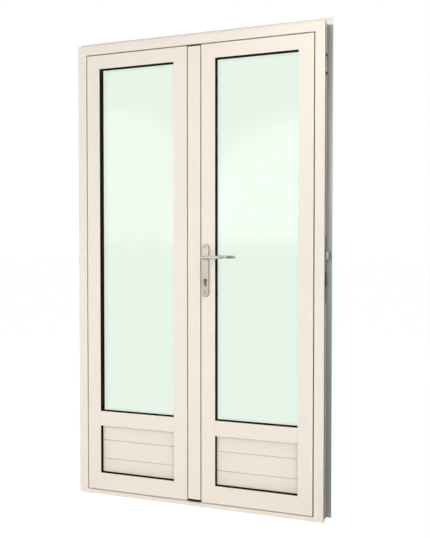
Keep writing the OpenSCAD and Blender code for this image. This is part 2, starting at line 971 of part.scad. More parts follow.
module left_bottom_rail()
    color(cream)
        bottom_rail();

// The strip's own bars lie between its two shells
strike_holes = [[deadbolt_z, deadbolt_h], [latch_z, latch_h]];

module strike_cuts(x0, x1)
    for (hole = strike_holes)
        box(x0, x1, bar_mid - bolt_t / 2 - 1, bar_mid + bolt_t / 2 + 1,
            hole[0] - hole[1] / 2 - 1, hole[0] + hole[1] / 2 + 1);

module thumb_slots(z_mid, throw_up)
    box(astragal_step - bar_t - eps, astragal_step + eps, bar_mid - 4, bar_mid + 4,
        z_mid - 8 - (throw_up > 0 ? 0 : lower_throw + 1), z_mid + 8 + (throw_up > 0 ? upper_throw + 1 : 0));

upper_thumb_z = rod_rest_top - flush_len + thumb_inset;
lower_thumb_z = rod_rest_bottom + flush_len - thumb_inset;

module astragal_bars()
    difference() {
        upright(0, astragal_z0, astragal_z1) {
            rect(astragal_root, astragal_root + bar_t, bar_front, bar_back);
            rect(astragal_step - bar_t, astragal_step, bar_front, bar_back);
        }
        strike_cuts(astragal_step - bar_t - eps, astragal_step + eps);
        thumb_slots(upper_thumb_z, 1);
        thumb_slots(lower_thumb_z, -1);
    }

module left_thermal_bars()
    color(black) {
        leaf_bars();
        astragal_bars();
    }

module left_panes()
    color(clear_green)
        both_panes();

module left_glass_spacer()
    color(mill)
        glass_spacer();

module left_outside_gasket()
    color(black)
        outside_gasket();

module left_inside_gasket()
    color(black)
        inside_gasket();

module left_glazing_beads()
    color(cream)
        glazing_beads();

module left_panel()
    color(cream)
        grooved_panel();

module left_setting_blocks()
    color(black)
        setting_blocks();

module left_seals()
    color(black)
        leaf_seals();

module left_hinge_leaves()
    color(cream)
        leaf_hinges();

module astragal()
    color(cream)
        upright(0, astragal_z0, astragal_z1) {
            face_section(-astragal_face / 2, astragal_face / 2);
            tube_section(astragal_root, astragal_step, bar_back, leaf_back, wall);
            outside_grip(astragal_step - bar_t - bar_grip);
            inside_grip(astragal_step - bar_t - bar_grip);
        }

module astragal_cap(z0, z1)
    difference() {
        union() {
            box(-astragal_face / 2, astragal_face / 2, front, bar_front, z0, z1);
            box(astragal_root, astragal_step, bar_front, leaf_back, z0, z1);
        }
        bore_z(flush_x, bar_mid, rod_r + slide_fit, z0 - eps, z1 + eps);
    }

module astragal_caps()
    color(black) {
        astragal_cap(leaf_bottom, astragal_z0);
        astragal_cap(astragal_z1, astragal_z1 + astragal_head);
    }

module strike_plate()
    color(steel)
        difference() {
            box(astragal_step, astragal_step + keep_t, bar_mid - 9, bar_mid + 9,
                deadbolt_z - deadbolt_h, latch_z + latch_h);
            strike_cuts(astragal_step - eps, astragal_step + keep_t + eps);
        }

// Right leaf, with the lock

// A cylinder's outline: a round head over a narrow foot
module cylinder_outline(grow = 0) {
    foot_r = cylinder_foot_w / 2;
    circle(r = cylinder_r + grow);
    translate([-foot_r - grow, foot_r - cylinder_foot])
        square([2 * foot_r + 2 * grow, cylinder_foot - foot_r]);
    translate([0, foot_r - cylinder_foot])
        circle(r = foot_r + grow);
}

module cylinder_prism(y0, y1, grow = 0)
    translate([lock_x, y1, cylinder_z])
        rotate([90, 0, 0])
            linear_extrude(y1 - y0)
                cylinder_outline(grow);

screw_rows = [lever_z + plate_rise - screw_inset, plate_z0 + screw_lift];

module lock_cuts() {
    bore_y(lock_x, lever_z, neck_r + 1);
    cylinder_prism(-far, far, slide_fit);
    for (z = screw_rows)
        bore_y(lock_x, z, screw_r + spindle_fit);
}

module right_hinge_stile()
    color(cream)
        right_hand()
            hinge_stile();

module right_meeting_stile()
    color(cream)
        difference() {
            right_hand()
                meeting_stile();
            lock_cuts();
        }

module right_top_rail()
    color(cream)
        right_hand()
            top_rail();

module right_mid_rail()
    color(cream)
        right_hand()
            mid_rail();

module right_bottom_rail()
    color(cream)
        right_hand()
            bottom_rail();

module right_thermal_bars()
    color(black)
        difference() {
            right_hand()
                leaf_bars();
            box(case_x0 - eps, case_x0 + bar_t + eps, case_y0 - eps, case_y0 + case_t + eps,
                case_z0 - eps, case_z1 + eps);
            bore_z(rod_x, bar_mid, rod_r + slide_fit, 0, panel_z0);
            bore_z(rod_x, bar_mid, rod_r + slide_fit, glass_z1, door_h);
        }

module right_panes()
    color(clear_green)
        right_hand()
            both_panes();

module right_glass_spacer()
    color(mill)
        right_hand()
            glass_spacer();

module right_outside_gasket()
    color(black)
        right_hand()
            outside_gasket();

module right_inside_gasket()
    color(black)
        right_hand()
            inside_gasket();

module right_glazing_beads()
    color(cream)
        right_hand()
            glazing_beads();

module right_panel()
    color(cream)
        right_hand()
            grooved_panel();

module right_setting_blocks()
    color(black)
        right_hand()
            setting_blocks();

module right_seals()
    color(black)
        right_hand()
            leaf_seals();

module right_hinge_leaves()
    color(cream)
        right_hand()
            leaf_hinges();

module bolt_window(z_mid, h, x0, x1)
    box(x0, x1, bar_mid - bolt_t / 2 - slide_fit, bar_mid + bolt_t / 2 + slide_fit,
        z_mid - h / 2 - slide_fit, z_mid + h / 2 + slide_fit);

module lock_case()
    color(mill)
        difference() {
            box(case_x0, case_x1, case_y0, case_y0 + case_t, case_z0, case_z1);
            box(case_x0 + case_wall, case_x1 - case_wall, case_y0 + case_wall,
                case_y0 + case_t - case_wall, case_z0 + case_wall, case_z1 - case_wall);
            bore_y(lock_x, lever_z, neck_r + 1);
            cylinder_prism(-far, far, slide_fit);
            for (hole = strike_holes)
                bolt_window(hole[0], hole[1], case_x0 - eps, case_x0 + case_wall + eps);
            bore_z(rod_x, bar_mid, rod_r + slide_fit, case_z0 - eps, case_z0 + case_wall + eps);
            bore_z(rod_x, bar_mid, rod_r + slide_fit, case_z1 - case_wall - eps, case_z1 + eps);
        }

module lock_face_plate()
    color(steel)
        difference() {
            box(face_plate_x, case_x0, bar_mid - 8, bar_mid + 8,
                (case_z0 + case_z1 - face_plate_h) / 2, (case_z0 + case_z1 + face_plate_h) / 2);
            for (hole = strike_holes)
                bolt_window(hole[0], hole[1], face_plate_x - eps, case_x0 + eps);
        }

// Half of a handle plate's section: its width and its thickness, with a round outer edge
module plate_half_section() {
    square([plate_w / 2, plate_t - plate_edge]);
    square([plate_w / 2 - plate_edge, plate_t]);
    translate([plate_w / 2 - plate_edge, plate_t - plate_edge])
        circle(r = plate_edge);
}

module handle_plate() {
    for (z = [plate_w / 2, plate_h - plate_w / 2])
        translate([0, 0, z])
            rotate([90, 0, 0])
                rotate_extrude()
                    plate_half_section();
    translate([0, 0, plate_w / 2])
        mirror([0, 1, 0])
            linear_extrude(plate_h - plate_w) {
                plate_half_section();
                mirror([1, 0])
                    plate_half_section();
            }
}

module handle_plates()
    color(steel)
        difference() {
            union() {
                translate([lock_x, front, plate_z0])
                    handle_plate();
                translate([lock_x, leaf_back, plate_z0])
                    mirror([0, 1, 0])
                        handle_plate();
            }
            bore_y(lock_x, lever_z, neck_r + run_fit);
            cylinder_prism(-far, far, slide_fit);
            for (z = screw_rows)
                bore_y(lock_x, z, screw_r + spindle_fit);
        }

module screw(y, dir, z)
    translate([lock_x, y, z])
        rotate([dir * 90, 0, 0]) {
            cylinder(r = screw_r, h = plate_t + 2 * screw_r);
            translate([0, 0, -screw_r / 2])
                cylinder(r1 = screw_r + 0.8, r2 = 2 * screw_r - 0.6, h = screw_r / 2);
        }

module handle_screws()
    color(steel)
        for (z = screw_rows) {
            screw(front - plate_t, -1, z);
            screw(leaf_back + plate_t, 1, z);
        }

module cylinder_body()
    color(steel)
        difference() {
            cylinder_prism(front - plate_t - 2, leaf_back + plate_t + 2);
            bore_y(lock_x, cylinder_z, plug_r + run_fit);
            box(lock_x - 10, lock_x + 10, bar_mid - 6, bar_mid + 6, cylinder_z - 14, cylinder_z + 10);
        }

// The plug runs through the cylinder and carries the cam that works the lock
module cylinder_plug()
    color(steel)
        difference() {
            union() {
                translate([lock_x, leaf_back + plate_t + 2.5, cylinder_z])
                    rotate([90, 0, 0])
                        cylinder(r = plug_r, h = leaf_back - front + 2 * plate_t + 5);
                translate([lock_x - 2.5, bar_mid - 5, cylinder_z])
                    cube([5, 10, 12.5]);
            }
            for (y = [front - plate_t - 2.5, leaf_back + plate_t + 2.5])
                translate([lock_x, y, cylinder_z])
                    cube([1.6, 30, 9], center = true);
        }

// Moving parts of the lock

// One lever: neck, ball, tapering grip, a bend back towards the door and a round end
module lever_at(y, out) {
    grip_y = y + out * lever_stand;
    translate([lock_x, 0, lever_z]) {
        translate([0, y - out * plate_t, 0])
            rotate([-out * 90, 0, 0])
                cylinder(r = neck_r, h = lever_stand + plate_t);
        translate([0, grip_y, 0]) {
            sphere(r = neck_r);
            rotate([0, 90, 0])
                cylinder(r1 = neck_r - eps, r2 = grip_r, h = grip_len);
        }
        translate([grip_len, grip_y - out * grip_bend, 0])
            rotate([0, 0, out > 0 ? 0 : -90])
                rotate_extrude(angle = 90)
                    translate([grip_bend, 0])
                        circle(r = grip_r);
        translate([grip_len + grip_bend, grip_y - out * grip_bend, 0]) {
            rotate([out * 90, 0, 0])
                cylinder(r = grip_r, h = grip_end);
            translate([0, -out * grip_end, 0])
                sphere(r = grip_r);
        }
    }
}

module levers()
    color(steel)
        difference() {
            union() {
                lever_at(front - plate_t, -1);
                lever_at(leaf_back + plate_t, 1);
            }
            spindle_square(spindle_fit);
        }

module spindle_square(grow)
    box(lock_x - 4 - grow, lock_x + 4 + grow, front - plate_t - 20, leaf_back + plate_t + 20,
        lever_z - 4 - grow, lever_z + 4 + grow);

module spindle()
    color(mill) {
        spindle_square(0);
        translate([lock_x, bar_mid + 5, lever_z])
            rotate([90, 0, 0])
                cylinder(r = 11, h = 10);
    }

module deadbolt()
    color(steel)
        box(face_plate_x, case_x1 - case_wall - 1, bar_mid - bolt_t / 2, bar_mid + bolt_t / 2,
            deadbolt_z - deadbolt_h / 2, deadbolt_z + deadbolt_h / 2);

module latch_bolt()
    color(steel)
        translate([0, 0, latch_z - latch_h / 2])
            linear_extrude(latch_h)
                polygon([
                    [face_plate_x, bar_mid - bolt_t / 2],
                    [case_x1 - case_wall - 3, bar_mid - bolt_t / 2],
                    [case_x1 - case_wall - 3, bar_mid + bolt_t / 2],
                    [face_plate_x + bolt_t - 2, bar_mid + bolt_t / 2],
                    [face_plate_x, bar_mid - bolt_t / 2 + 2]
                ]);

module upper_shoot_bolt()
    color(steel)
        bore_z(rod_x, bar_mid, rod_r, lever_z + rod_rise, rod_rest_top);

module lower_shoot_bolt()
    color(steel)
        bore_z(rod_x, bar_mid, rod_r, rod_rest_bottom, cylinder_z - rod_drop);

// A rod with a thumb piece that sticks out into the gap between the leaves
module flush_bolt(z0, z1, thumb_z)
    union() {
        bore_z(flush_x, bar_mid, rod_r, z0, z1);
        box(flush_x, astragal_step + 4, bar_mid - 3, bar_mid + 3, thumb_z - 7, thumb_z + 7);
    }

module upper_flush_bolt()
    color(steel)
        flush_bolt(rod_rest_top - flush_len, rod_rest_top, upper_thumb_z);

module lower_flush_bolt()
    color(steel)
        flush_bolt(rod_rest_bottom, rod_rest_bottom + flush_len, lower_thumb_z);

frame_head();
frame_jamb_left();
frame_jamb_right();
threshold();
frame_thermal_bars();
frame_corner_cleats();
frame_centre_seal();
jamb_side_plate();
jamb_side_block();
bolt_keeps();
frame_hinge_leaves();
hinge_pins();
left_hinge_stile();
left_meeting_stile();
left_top_rail();
left_mid_rail();
left_bottom_rail();
left_thermal_bars();
left_panes();
left_glass_spacer();
left_outside_gasket();
left_inside_gasket();
left_glazing_beads();
left_panel();
left_setting_blocks();
left_seals();
left_hinge_leaves();
astragal();
astragal_caps();
strike_plate();
right_hinge_stile();
right_meeting_stile();
right_top_rail();
right_mid_rail();
right_bottom_rail();
right_thermal_bars();
right_panes();
right_glass_spacer();
right_outside_gasket();
right_inside_gasket();
right_glazing_beads();
right_panel();
right_setting_blocks();
right_seals();
right_hinge_leaves();
lock_case();
lock_face_plate();
handle_plates();
handle_screws();
cylinder_body();
cylinder_plug();
levers();
spindle();
deadbolt();
latch_bolt();
upper_shoot_bolt();
lower_shoot_bolt();
upper_flush_bolt();
lower_flush_bolt();
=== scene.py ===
"""Looks for the glazed aluminium double door: finishes, seals, studio light and camera."""

import math

import bmesh
import bpy
from bpy.props import FloatProperty, FloatVectorProperty, PointerProperty
from mathutils import Matrix, Vector


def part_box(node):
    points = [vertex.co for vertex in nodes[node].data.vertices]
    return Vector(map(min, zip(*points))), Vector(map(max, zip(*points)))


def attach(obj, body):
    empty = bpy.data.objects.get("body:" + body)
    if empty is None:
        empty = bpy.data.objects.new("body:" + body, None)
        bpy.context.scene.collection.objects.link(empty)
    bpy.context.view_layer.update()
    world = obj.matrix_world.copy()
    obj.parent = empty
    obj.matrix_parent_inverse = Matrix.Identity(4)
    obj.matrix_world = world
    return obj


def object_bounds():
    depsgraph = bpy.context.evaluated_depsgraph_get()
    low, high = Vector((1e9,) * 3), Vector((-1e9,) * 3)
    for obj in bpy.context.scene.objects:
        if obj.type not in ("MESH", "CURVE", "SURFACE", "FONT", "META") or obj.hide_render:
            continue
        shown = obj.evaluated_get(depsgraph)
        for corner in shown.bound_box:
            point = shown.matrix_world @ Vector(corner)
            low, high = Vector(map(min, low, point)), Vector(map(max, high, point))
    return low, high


bl_info = {
    "name": "Glazed aluminium double door",
    "version": (1, 0, 0),
    "blender": (4, 5, 0),
    "location": "View3D > Sidebar > Door",
    "description": "Finishes a packed double door and sets its studio stage",
    "category": "Object",
}

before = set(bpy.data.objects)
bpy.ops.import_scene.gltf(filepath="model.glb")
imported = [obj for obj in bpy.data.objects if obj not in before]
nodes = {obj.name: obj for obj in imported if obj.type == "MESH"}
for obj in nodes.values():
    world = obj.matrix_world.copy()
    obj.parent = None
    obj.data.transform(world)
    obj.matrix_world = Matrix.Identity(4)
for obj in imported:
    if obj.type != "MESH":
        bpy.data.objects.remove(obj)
cad_low, cad_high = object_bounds()

MM = 0.001

# Sizes of the CAD model that the boxes of its nodes don't give
FIXING_HEIGHTS = (2011 * MM, 1934 * MM)
HINGE_HEIGHT = 105 * MM
HINGE_PLATE = 3 * MM
PANEL_BITE = 14 * MM
# The coat ends this far inside the outer side of the jamb's plate
COAT_MARGIN = 0.5 * MM

# Sizes of the added trim and fasteners
LIP_HEIGHT = 1.8 * MM
PACKER_ENDS = (67 * MM, 129 * MM)
PACKER_WIDTH = 9.6 * MM
PACKER_OUT = 2.5 * MM
PACKER_EDGE = 1 * MM
FRAME_SCREW_INSET = 11 * MM
LEAF_SCREW_INSET = 17 * MM
SCREW_SHARES = (0.14, 0.5, 0.86)
SOCKET_RADII = (1.5 * MM, 2.3 * MM)
SIXTH_TURN = math.pi / 3
PACKER_SLACK = 0.2 * MM
MERGE = 0.001 * MM

# Roughness of a finish, from its smoothest spot to its dullest
COAT_GLOSS = (0.40, 0.48)
MILL_GLOSS = (0.32, 0.52)
PLATED_GLOSS = (0.28, 0.46)
BRUSHED_SPREAD = 0.12
MOULDED_SPREAD = 0.08

# How bright the white room and the floor look: straight on, and in glass and metal
BRIGHT_SIDE = Vector((-0.55, -0.65, 0.52)).normalized()
ROOM_LOOK = (1.0, 0.3)
FLOOR_LOOK = (1.055, 0.485)
# Share of that even look in the floor; the rest is matt paint that keeps the shadow
FLOOR_COVER = (0.92, 1.0)
FLOOR_DROP = 0.5 * MM
CAMERA_PLACE = (1.096, -2.912, 1.169)
CAMERA_TURN = (math.radians(90 - 1.46), 0, math.radians(19.08))

LEAVES = ("left", "right")
LEAF_PROFILES = (
    "hinge_stile", "meeting_stile", "top_rail", "mid_rail", "bottom_rail", "glazing_beads",
)


def linear(hex_colour):
    """Turns an sRGB hex value such as EFE6DB into linear red, green, blue and alpha."""
    values = [int(hex_colour[i:i + 2], 16) / 255 for i in (0, 2, 4)]
    return [v / 12.92 if v <= 0.04045 else ((v + 0.055) / 1.055) ** 2.4 for v in values] + [1.0]


def colour_property(label, text, hex_colour):
    """A colour that the panel shows, with its default from a hex value."""
    return FloatVectorProperty(
        name=label, description=text, subtype="COLOR", size=4, min=0, max=1,
        default=linear(hex_colour),
    )


def length_property(label, text, millimetres):
    """A length that the panel shows, with its default in millimetres."""
    return FloatProperty(
        name=label, description=text, subtype="DISTANCE", unit="LENGTH", min=0,
        default=millimetres * MM,
    )


def power_property(label, text, watts):
    """A lamp's power that the panel shows, with its default in watts."""
    return FloatProperty(name=label, description=text, unit="POWER", min=0, default=watts)


class DoorFinishes(bpy.types.PropertyGroup):
    """Colours of the door's finishes."""

    coat: colour_property("Powder coat", "Cream coat on every profile", "EFE5DA")
    coat_worn: colour_property("Powder coat, aged", "Tone that the coat drifts to", "EBE2D5")
    mill: colour_property("Mill aluminium", "Bare extruded aluminium", "C2C5C1")
    rubber: colour_property("Rubber", "Gaskets and seals", "15170F")
    # Painted light: the lips' brown is black rubber tinted warm to stand in for light that the
    # cream panel bounces onto it
    lip_rubber_painted_bounce: colour_property("Rubber, painted warm bounce", "Lips on the panels", "3A2716")
    plastic: colour_property("Black plastic", "Caps, blocks and bars of the leaves", "17180F")
    polyamide: colour_property("Polyamide", "Insulating bars of the frame", "8B8D8A")
    glass: colour_property("Glass", "Tint of one pane", "F4FBF4")
    spacer: colour_property("Black aluminium", "Spacer between the panes", "191B17")
    satin: colour_property("Satin aluminium", "Handle plates", "D6D0C6")
    polished: colour_property("Polished aluminium", "Levers", "ECE9E3")
    nickel: colour_property("Nickel-plated brass", "Cylinder and its plug", "85796C")
    steel: colour_property("Zinc-plated steel", "Bolts, plates and pins", "B4B7B3")
    stainless: colour_property("Stainless steel", "Screws of the handle plates", "A9A39A")
    galvanised: colour_property("Galvanised steel", "Plate on the jamb's side", "878B87")


class DoorSizes(bpy.types.PropertyGroup):
    """Sizes of the patterns in the finishes and of the panels' lips.

    Real coat waves and die lines are finer, and are drawn as coarse as they need to show."""

    edge: length_property("Edge radius", "Rounding that light shows on a profile's edge", 0.6)
    peel: length_property("Coat waviness", "Spacing of the waves in the powder coat", 3.0)
    drift: length_property("Coat drift", "Size of the patches where the coat's tone drifts", 420)
    die_line: length_property("Die lines", "Spacing of the extruder's marks", 1.5)
    spangle: length_property("Zinc spangle", "Size of a crystal in the zinc", 4.0)
    panel_lip: length_property("Panel lip", "Width of the rubber lip on a panel", 3.0)


class DoorStage(bpy.types.PropertyGroup):
    """Light, floor and camera."""

    key_power: power_property("Key lamp", "Power of the small lamp, upper left", 55)
    softbox_power: power_property(
        "Right softbox", "Power of the glow that the right glass shows", 82)
    side_softbox_power: power_property(
        "Left softbox", "Power of the glow that the left glass shows", 26)
    corner_power: power_property("Corner lamp", "Power of the lamp near the upper right", 5.2)
    low_power: power_property("Low lamp", "Power of the lamp near the floor", 14.5)
    back_power: power_property("Back lamp", "Power of the wide lamp behind the door", 120)
    room_light: FloatProperty(name="Room light", description="Light from the room's bright side",
                              min=0, default=0.36)
    room_shade: FloatProperty(name="Room shade", description="Light from the room's dim side",
                              min=0, default=0.32)
    floor_size: length_property("Floor", "Length of the floor's sides", 240000)
    lens: FloatProperty(name="Lens", description="Focal length in millimetres",
                        subtype="DISTANCE_CAMERA", min=1, default=45.2)


def add_node(tree, kind, inputs=None, **settings):
    """Adds a node, sets its properties, and sets or links its inputs."""
    new = tree.nodes.new(kind)
    for name, value in settings.items():
        setattr(new, name, value)
    for name, value in (inputs or {}).items():
        if isinstance(value, bpy.types.NodeSocket):
            tree.links.new(value, new.inputs[name])
        else:
            new.inputs[name].default_value = value
    return new


def start_material(name):
    """A new material with an empty node tree and Object coordinates."""
    made = bpy.data.materials.new(name)
    made.use_nodes = True
    tree = made.node_tree
    tree.nodes.clear()
    place = add_node(tree, "ShaderNodeTexCoord").outputs["Object"]
    return made, tree, place


def end_material(tree, surface):
    """Joins a shader to the material's output."""
    add_node(tree, "ShaderNodeOutputMaterial", {"Surface": surface.outputs[0]})


def coat_pattern(tree, place, finishes, sizes):
    """Colour, height and roughness of the powder coat."""
    drift = add_node(tree, "ShaderNodeTexNoise",
                     {"Vector": place, "Scale": 1 / sizes.drift, "Detail": 1.0})
    tone = add_node(tree, "ShaderNodeMix",
                    {0: drift.outputs["Fac"], 6: finishes.coat, 7: finishes.coat_worn},
                    data_type="RGBA")
    peel = add_node(tree, "ShaderNodeTexNoise",
                    {"Vector": place, "Scale": 1 / sizes.peel, "Detail": 1.0}).outputs["Fac"]
    gloss = add_node(tree, "ShaderNodeMapRange",
                     {"Value": peel, "To Min": COAT_GLOSS[0], "To Max": COAT_GLOSS[1]})
    return tone.outputs[2], peel, gloss.outputs["Result"]


def die_pattern(tree, place, sizes):
    """Height and roughness of the fine upright lines that the extruder's die leaves."""
    stretched = add_node(tree, "ShaderNodeMapping", {"Vector": place, "Scale": (1, 1, 0.004)})
    lines = add_node(tree, "ShaderNodeTexNoise", {
        "Vector": stretched.outputs[0], "Scale": 1 / sizes.die_line, "Detail": 2.0}).outputs["Fac"]
    gloss = add_node(tree, "ShaderNodeMapRange",
                     {"Value": lines, "To Min": MILL_GLOSS[0], "To Max": MILL_GLOSS[1]})
    return lines, gloss.outputs["Result"]


def coat_relief(tree, sizes, height):
    """The normal of a coated profile: rounded edges with faint waves on them."""
    edge = add_node(tree, "ShaderNodeBevel", {"Radius": sizes.edge}, samples=4)
    waves = add_node(tree, "ShaderNodeBump",
                     {"Height": height, "Normal": edge.outputs["Normal"],
                      "Strength": 0.06, "Distance": 0.2 * MM})
    return waves.outputs["Normal"]


def powder_coat(finishes, sizes):
    """Polyester powder coat, sprayed and baked on aluminium: an even satin cream.

    The eye gets soft broad highlights, faint waves like orange peel, rounded edges, and a tone
    that drifts a little over a door's height."""
    made, tree, place = start_material("cream_powder_coat")
    tone, peel, gloss = coat_pattern(tree, place, finishes, sizes)
    end_material(tree, add_node(tree, "ShaderNodeBsdfPrincipled", {
        "Base Color": tone, "Roughness": gloss, "IOR": 1.5,
        "Normal": coat_relief(tree, sizes, peel),
    }))
    return made


def coated_front(finishes, sizes, side):
    """A jamb: powder coat where it shows, bare extruded aluminium on the side against the wall.

    The bare side is grey with fine upright lines from the extruder's die."""
    made, tree, place = start_material("cream_powder_coat_on_mill_aluminium")
    axes = add_node(tree, "ShaderNodeSeparateXYZ", {"Vector": place})
    width = add_node(tree, "ShaderNodeMath", {0: axes.outputs["X"]}, operation="ABSOLUTE")
    bare = add_node(tree, "ShaderNodeMath", {0: width.outputs[0], 1: side},
                    operation="GREATER_THAN").outputs[0]
    tone, peel, coat_gloss = coat_pattern(tree, place, finishes, sizes)
    lines, bare_gloss = die_pattern(tree, place, sizes)
    colour = add_node(tree, "ShaderNodeMix", {0: bare, 6: tone, 7: finishes.mill},
                      data_type="RGBA")
    gloss = add_node(tree, "ShaderNodeMix", {0: bare, 2: coat_gloss, 3: bare_gloss})
    height = add_node(tree, "ShaderNodeMix", {0: bare, 2: peel, 3: lines})
    end_material(tree, add_node(tree, "ShaderNodeBsdfPrincipled", {
        "Base Color": colour.outputs[2], "Roughness": gloss.outputs[0], "Metallic": bare,
        "IOR": 1.5, "Normal": coat_relief(tree, sizes, height.outputs[0]),
    }))
    return made


def mill_aluminium(finishes, sizes):
    """Bare extruded aluminium: grey, half dull, with fine lines from the die."""
    made, tree, place = start_material("mill_aluminium")
    lines, gloss = die_pattern(tree, place, sizes)
    marks = add_node(tree, "ShaderNodeBump",
                     {"Height": lines, "Strength": 0.1, "Distance": 0.1 * MM})
    end_material(tree, add_node(tree, "ShaderNodeBsdfPrincipled", {
        "Base Color": finishes.mill, "Roughness": gloss, "Metallic": 1.0,
        "Normal": marks.outputs["Normal"],
    }))
    return made


def moulded(name, colour, grit, roughness, sheen, bump):
    """Moulded or extruded rubber and plastic: dull, with a fine grit in the skin."""
    made, tree, place = start_material(name)
    skin = add_node(tree, "ShaderNodeTexNoise",
                    {"Vector": place, "Scale": 1 / grit, "Detail": 2.0})
    gloss = add_node(tree, "ShaderNodeMapRange", {
        "Value": skin.outputs["Fac"],
        "To Min": roughness - MOULDED_SPREAD, "To Max": roughness + MOULDED_SPREAD})
    relief = add_node(tree, "ShaderNodeBump",
                      {"Height": skin.outputs["Fac"], "Strength": bump, "Distance": 0.1 * MM})
    end_material(tree, add_node(tree, "ShaderNodeBsdfPrincipled", {
        "Base Color": colour, "Roughness": gloss.outputs["Result"], "IOR": 1.5,
        "Specular IOR Level": sheen, "Normal": relief.outputs["Normal"],
    }))
    return made


def float_glass(finishes):
    """Clear float glass in two panes: smooth, with the pale green of its iron.

    Rollers leave very long faint waves, so reflections bend a little."""
    made, tree, place = start_material("pale_green_float_glass")
    waves = add_node(tree, "ShaderNodeTexNoise", {"Vector": place, "Scale": 1 / (350 * MM)})
    bend = add_node(tree, "ShaderNodeBump",
                    {"Height": waves.outputs["Fac"], "Strength": 0.02, "Distance": 1 * MM})
    end_material(tree, add_node(tree, "ShaderNodeBsdfPrincipled", {
        "Base Color": finishes.glass, "Roughness": 0.0, "IOR": 1.52, "Transmission Weight": 1.0,
        "Normal": bend.outputs["Normal"],
    }))
    return made


def anodised_aluminium(name, colour, dullest):
    """Anodised aluminium, brushed: pale warm grey, with a highlight drawn out by the brushing.

    The grain is drawn coarser than it really is, so that it shows."""
    made, tree, place = start_material(name)
    grain = 0.8 * MM
    stretched = add_node(tree, "ShaderNodeMapping", {"Vector": place, "Scale": (0.03, 1, 1)})
    brush = add_node(tree, "ShaderNodeTexNoise",
                     {"Vector": stretched.outputs[0], "Scale": 1 / grain, "Detail": 2.0})
    gloss = add_node(tree, "ShaderNodeMapRange", {
        "Value": brush.outputs["Fac"], "To Min": dullest - BRUSHED_SPREAD, "To Max": dullest})
    edge = add_node(tree, "ShaderNodeBevel", {"Radius": 0.6 * MM}, samples=4)
    end_material(tree, add_node(tree, "ShaderNodeBsdfPrincipled", {
        "Base Color": colour, "Roughness": gloss.outputs["Result"], "Metallic": 1.0,
        "Normal": edge.outputs["Normal"],
    }))
    return made


def plated(name, colour, sizes):
    """Zinc-plated steel or nickel-plated brass: its gloss changes a little from grain to grain."""
    made, tree, place = start_material(name)
    spangle = add_node(tree, "ShaderNodeTexVoronoi",
                       {"Vector": place, "Scale": 1 / sizes.spangle})
    shade = add_node(tree, "ShaderNodeSeparateColor", {"Color": spangle.outputs["Color"]})
    gloss = add_node(tree, "ShaderNodeMapRange", {
        "Value": shade.outputs[0], "To Min": PLATED_GLOSS[0], "To Max": PLATED_GLOSS[1]})
    end_material(tree, add_node(tree, "ShaderNodeBsdfPrincipled", {
        "Base Color": colour, "Roughness": gloss.outputs["Result"], "Metallic": 1.0,
    }))
    return made


def new_piece(name, shape, material, body):
    """Closes and turns out a bmesh, makes it a piece, and lets it ride on a body."""
    bmesh.ops.remove_doubles(shape, verts=shape.verts, dist=MERGE)
    bmesh.ops.recalc_face_normals(shape, faces=shape.faces)
    mesh = bpy.data.meshes.new(name)
    shape.to_mesh(mesh)
    shape.free()
    mesh.materials.append(material)
    piece = bpy.data.objects.new(name, mesh)
    bpy.context.scene.collection.objects.link(piece)
    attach(piece, body)


def verts_in(geometry):
    """The vertices in a list of a mesh's parts."""
    return [part for part in geometry if isinstance(part, bmesh.types.BMVert)]


def extruded(outline, reach):
    """A bmesh that extrudes a face on an outline of points along a vector."""
    shape = bmesh.new()
    face = shape.faces.new([shape.verts.new(point) for point in outline])
    grown = bmesh.ops.extrude_face_region(shape, geom=[face], use_keep_orig=True)
    bmesh.ops.translate(shape, verts=verts_in(grown["geom"]), vec=reach)
    return shape


def turned(profile, steps):
    """A bmesh that spins a profile of radius and height, in millimetres, about the Z axis."""
    shape = bmesh.new()
    points = [shape.verts.new((radius * MM, 0, height * MM)) for radius, height in profile]
    lines = [shape.edges.new(pair) for pair in zip(points, points[1:])]
    bmesh.ops.spin(shape, geom=points + lines, cent=(0, 0, 0), axis=(0, 0, 1),
                   angle=2 * math.pi, steps=steps, use_merge=True)
    bmesh.ops.remove_doubles(shape, verts=shape.verts, dist=MERGE)
    return shape


def repeat_at(shape, places):
    """Copies a small shape to several places, each given as a matrix."""
    first = [*shape.verts, *shape.edges, *shape.faces]
    for place in places[1:]:
        copy = bmesh.ops.duplicate(shape, geom=first)["geom"]
        bmesh.ops.transform(shape, matrix=place, verts=verts_in(copy))
    bmesh.ops.transform(shape, matrix=places[0], verts=verts_in(first))


def dress(material, *names):
    """Gives CAD nodes their finish."""
    for name in names:
        slots = nodes[name].data.materials
        slots.clear()
        slots.append(material)


def both_leaves(*endings):
    """Names of like nodes on the two leaves."""
    return [f"{leaf}_{ending}" for leaf in LEAVES for ending in endings]


class DOOR_OT_coat_profiles(bpy.types.Operator):
    """Powder coats the frame, the leaves and the strip between them"""

    bl_idname = "door.coat_profiles"
    bl_label = "Coat the profiles"

    def execute(self, context):
        finishes, sizes = context.scene.door_finishes, context.scene.door_sizes
        coat = powder_coat(finishes, sizes)
        dress(coat, "frame_head", "threshold", "frame_hinge_leaves", "astragal",
              *both_leaves(*LEAF_PROFILES, "panel", "hinge_leaves"))
        outer_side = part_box("jamb_side_plate")[1][0] - COAT_MARGIN
        dress(coated_front(finishes, sizes, outer_side), "frame_jamb_left", "frame_jamb_right")
        return {"FINISHED"}


class DOOR_OT_glaze(bpy.types.Operator):
    """Gives the panes their glass and the spacers black aluminium"""

    bl_idname = "door.glaze"
    bl_label = "Glaze the leaves"

    def execute(self, context):
        finishes = context.scene.door_finishes
        dress(float_glass(finishes), *both_leaves("panes"))
        dress(anodised_aluminium("black_anodised_aluminium", finishes.spacer, dullest=0.55),
              *both_leaves("glass_spacer"))
        return {"FINISHED"}


